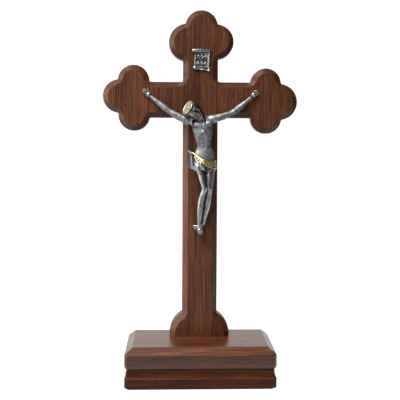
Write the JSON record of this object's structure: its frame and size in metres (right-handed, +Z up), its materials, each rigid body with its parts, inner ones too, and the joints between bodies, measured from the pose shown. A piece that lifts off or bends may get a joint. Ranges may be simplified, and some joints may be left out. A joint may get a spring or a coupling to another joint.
{
  "type": "standing altar cross",
  "caption": "Walnut cross with trefoil ends on a moulded base, carrying a cast corpus with a gilt nimbus and a scroll above it.",
  "frame": {"origin": "middle of the base's underside, on the surface that the cross stands on", "axes": "+Z up the cross, -Y out of the cross's front towards the viewer, +X to the viewer's right"},
  "size_m": [0.13, 0.051, 0.245],
  "materials": {
    "walnut": "red-brown walnut with an open straight grain under a thin satin lacquer",
    "beech": "plain unfinished beech",
    "felt": "thin dark brown felt",
    "steel": "bright zinc plate",
    "nail_metal": "darkened nail heads, rubbed bright on top",
    "antique_silver": "antique silver plate, dark in the hollows and polished on the high places",
    "gilt": "pale gilt, polished on the rim"
  },
  "bodies": {
    "root": {"base_plinth_board": "walnut", "base_top_board": "walnut", "cross_board": "walnut", "dowel_left": "beech", "dowel_right": "beech", "felt_sheet": "felt", "base_screw": "steel", "hand_nail_left": "nail_metal", "hand_nail_right": "nail_metal", "feet_nail": "nail_metal", "corpus": "antique_silver", "titulus": "antique_silver", "nimbus": "gilt"}
  },
  "joints": []
}
